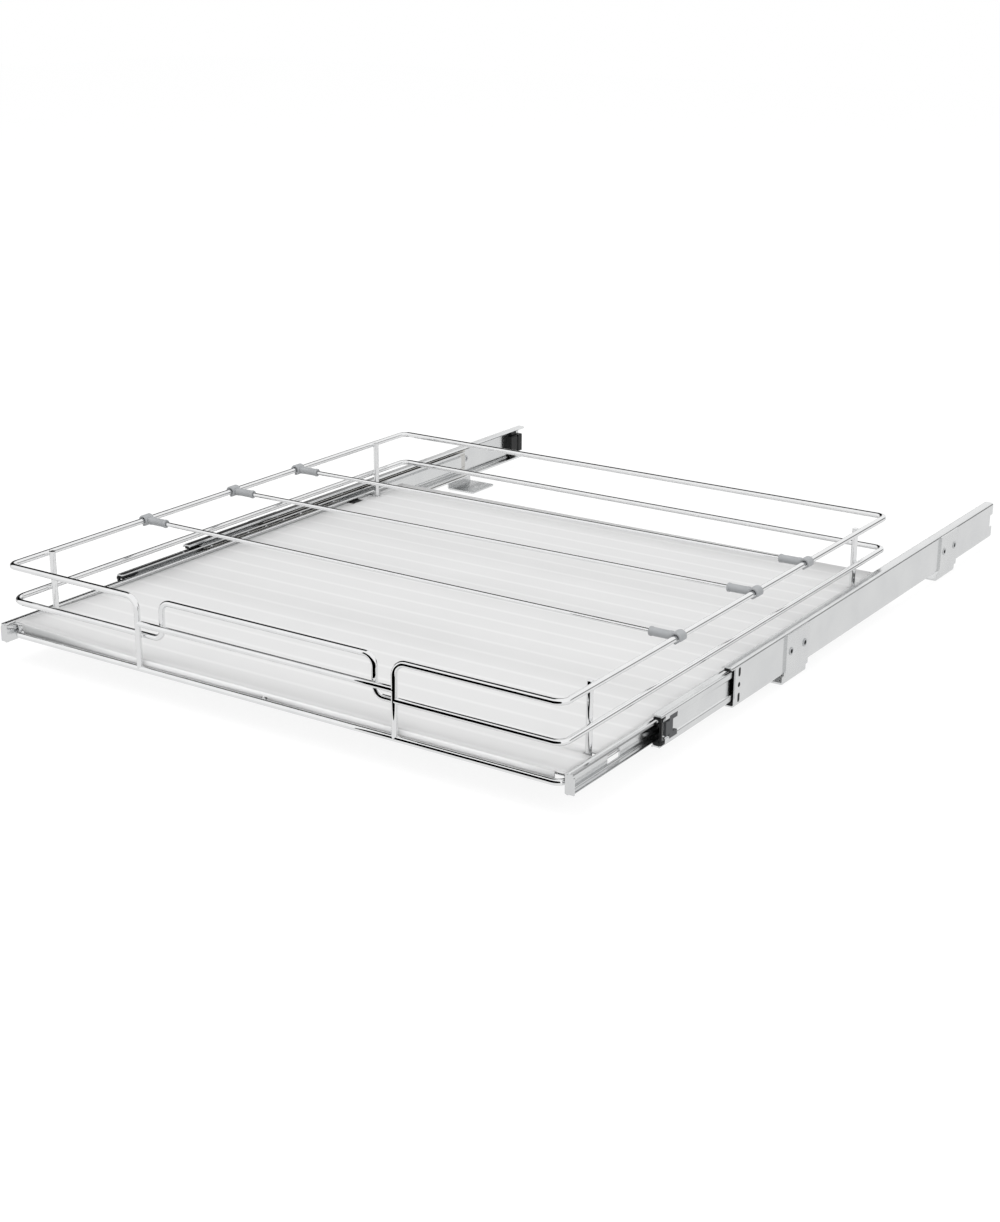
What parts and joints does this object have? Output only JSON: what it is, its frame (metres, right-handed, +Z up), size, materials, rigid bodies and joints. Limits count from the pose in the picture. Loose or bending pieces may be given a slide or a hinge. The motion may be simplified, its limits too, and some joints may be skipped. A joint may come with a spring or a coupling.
{
  "type": "pull-out cabinet organizer",
  "caption": "Welded wire basket with a lined floor and sliding divider rods, carried on two side-mounted ball-bearing slides with floor brackets.",
  "frame": {"origin": "centre of the four floor screw holes, on the cabinet floor under the bracket feet", "axes": "+X to the right seen from the cabinet door, +Y into the cabinet, +Z up"},
  "size_m": [0.5656, 0.7813, 0.0889],
  "materials": {
    "slide_steel": "bright zinc plated",
    "bracket_steel": "zinc plated sheet",
    "cage_steel": "thin plated sheet",
    "ball_steel": "polished",
    "rivet_steel": "plated",
    "chrome_wire": "bright chrome plated",
    "black_plastic": "moulded, satin",
    "dark_plastic": "moulded, satin",
    "grey_plastic": "moulded, translucent grey",
    "frosted_liner": "frosted sheet"
  },
  "bodies": {
    "cabinet_side": {"left_outer_member": "slide_steel", "left_front_collar": "black_plastic", "left_rear_stop": "black_plastic", "left_front_bracket": "bracket_steel", "left_rear_bracket": "bracket_steel", "right_outer_member": "slide_steel", "right_front_collar": "black_plastic", "right_rear_stop": "black_plastic", "right_front_bracket": "bracket_steel", "right_rear_bracket": "bracket_steel", "bracket_rivets": "rivet_steel"},
    "basket": {"left_inner_member": "slide_steel", "left_lever_rivet": "rivet_steel", "left_front_side_post": "chrome_wire", "left_rear_side_post": "chrome_wire", "right_inner_member": "slide_steel", "right_lever_rivet": "rivet_steel", "right_front_side_post": "chrome_wire", "right_rear_side_post": "chrome_wire", "base_frame_wire": "chrome_wire", "top_rim_wire": "chrome_wire", "middle_wire": "chrome_wire", "front_bar": "chrome_wire", "front_loop_wire": "chrome_wire", "floor_cross_wires": "chrome_wire", "floor_centre_wire": "chrome_wire", "floor_liner": "frosted_liner"},
    "left_middle": {"left_middle_member": "slide_steel", "left_middle_bumper_cap": "black_plastic", "left_cap_clip": "dark_plastic"},
    "left_outer_cage": {"left_outer_ball_cage": "cage_steel", "left_outer_balls": "ball_steel"},
    "left_inner_cage": {"left_inner_ball_cage": "cage_steel", "left_inner_balls": "ball_steel"},
    "left_lever": {"left_release_lever": "black_plastic"},
    "right_middle": {"right_middle_member": "slide_steel", "right_middle_bumper_cap": "black_plastic", "right_cap_clip": "dark_plastic"},
    "right_outer_cage": {"right_outer_ball_cage": "cage_steel", "right_outer_balls": "ball_steel"},
    "right_inner_cage": {"right_inner_ball_cage": "cage_steel", "right_inner_balls": "ball_steel"},
    "right_lever": {"right_release_lever": "black_plastic"},
    "front_divider": {"front_divider_rod": "chrome_wire", "front_divider_left_clip": "grey_plastic", "front_divider_right_clip": "grey_plastic"},
    "middle_divider": {"middle_divider_rod": "chrome_wire", "middle_divider_left_clip": "grey_plastic", "middle_divider_right_clip": "grey_plastic"},
    "rear_divider": {"rear_divider_rod": "chrome_wire", "rear_divider_left_clip": "grey_plastic", "rear_divider_right_clip": "grey_plastic"}
  },
  "joints": [
    {"name": "basket_slide", "type": "slide", "parent": "cabinet_side", "child": "basket", "axis": [0, 1, 0], "range_m": [-0.2992, 0.2258]},
    {"name": "left_middle_slide", "type": "slide", "parent": "cabinet_side", "child": "left_middle", "axis": [0, 1, 0], "range_m": [-0.12325, 0.09302]},
    {"name": "left_outer_cage_slide", "type": "slide", "parent": "cabinet_side", "child": "left_outer_cage", "axis": [0, 1, 0], "range_m": [-0.06164, 0.04652]},
    {"name": "left_inner_cage_slide", "type": "slide", "parent": "cabinet_side", "child": "left_inner_cage", "axis": [0, 1, 0], "range_m": [-0.21123, 0.15942]},
    {"name": "right_middle_slide", "type": "slide", "parent": "cabinet_side", "child": "right_middle", "axis": [0, 1, 0], "range_m": [-0.1471, 0.11102]},
    {"name": "right_outer_cage_slide", "type": "slide", "parent": "cabinet_side", "child": "right_outer_cage", "axis": [0, 1, 0], "range_m": [-0.07356, 0.05552]},
    {"name": "right_inner_cage_slide", "type": "slide", "parent": "cabinet_side", "child": "right_inner_cage", "axis": [0, 1, 0], "range_m": [-0.22316, 0.16842]},
    {"name": "front_divider_slide", "type": "slide", "parent": "basket", "child": "front_divider", "axis": [0, 1, 0], "range_m": [-0.1, 0.052]},
    {"name": "middle_divider_slide", "type": "slide", "parent": "basket", "child": "middle_divider", "axis": [0, 1, 0], "range_m": [-0.052, 0.04]},
    {"name": "rear_divider_slide", "type": "slide", "parent": "basket", "child": "rear_divider", "axis": [0, 1, 0], "range_m": [-0.04, 0.095]},
    {"name": "left_lever_hinge", "type": "hinge", "parent": "basket", "child": "left_lever", "pos_m": [-0.2703, 0.0022, 0.0265], "axis": [1, 0, 0], "range_deg": [-1.3, 0], "stiffness_Nm_per_rad": 0.05, "springref_deg": 5.73},
    {"name": "right_lever_hinge", "type": "hinge", "parent": "basket", "child": "right_lever", "pos_m": [0.2703, 0.0022, 0.0265], "axis": [1, 0, 0], "range_deg": [-1.3, 0], "stiffness_Nm_per_rad": 0.05, "springref_deg": 5.73}
  ],
  "couplings": [
    {"joint": "left_middle_slide", "follows": "basket_slide", "ratio": 0.41187},
    {"joint": "left_outer_cage_slide", "follows": "basket_slide", "ratio": 0.20594},
    {"joint": "left_inner_cage_slide", "follows": "basket_slide", "ratio": 0.70593},
    {"joint": "right_middle_slide", "follows": "basket_slide", "ratio": 0.49159},
    {"joint": "right_outer_cage_slide", "follows": "basket_slide", "ratio": 0.2458},
    {"joint": "right_inner_cage_slide", "follows": "basket_slide", "ratio": 0.74579}
  ]
}
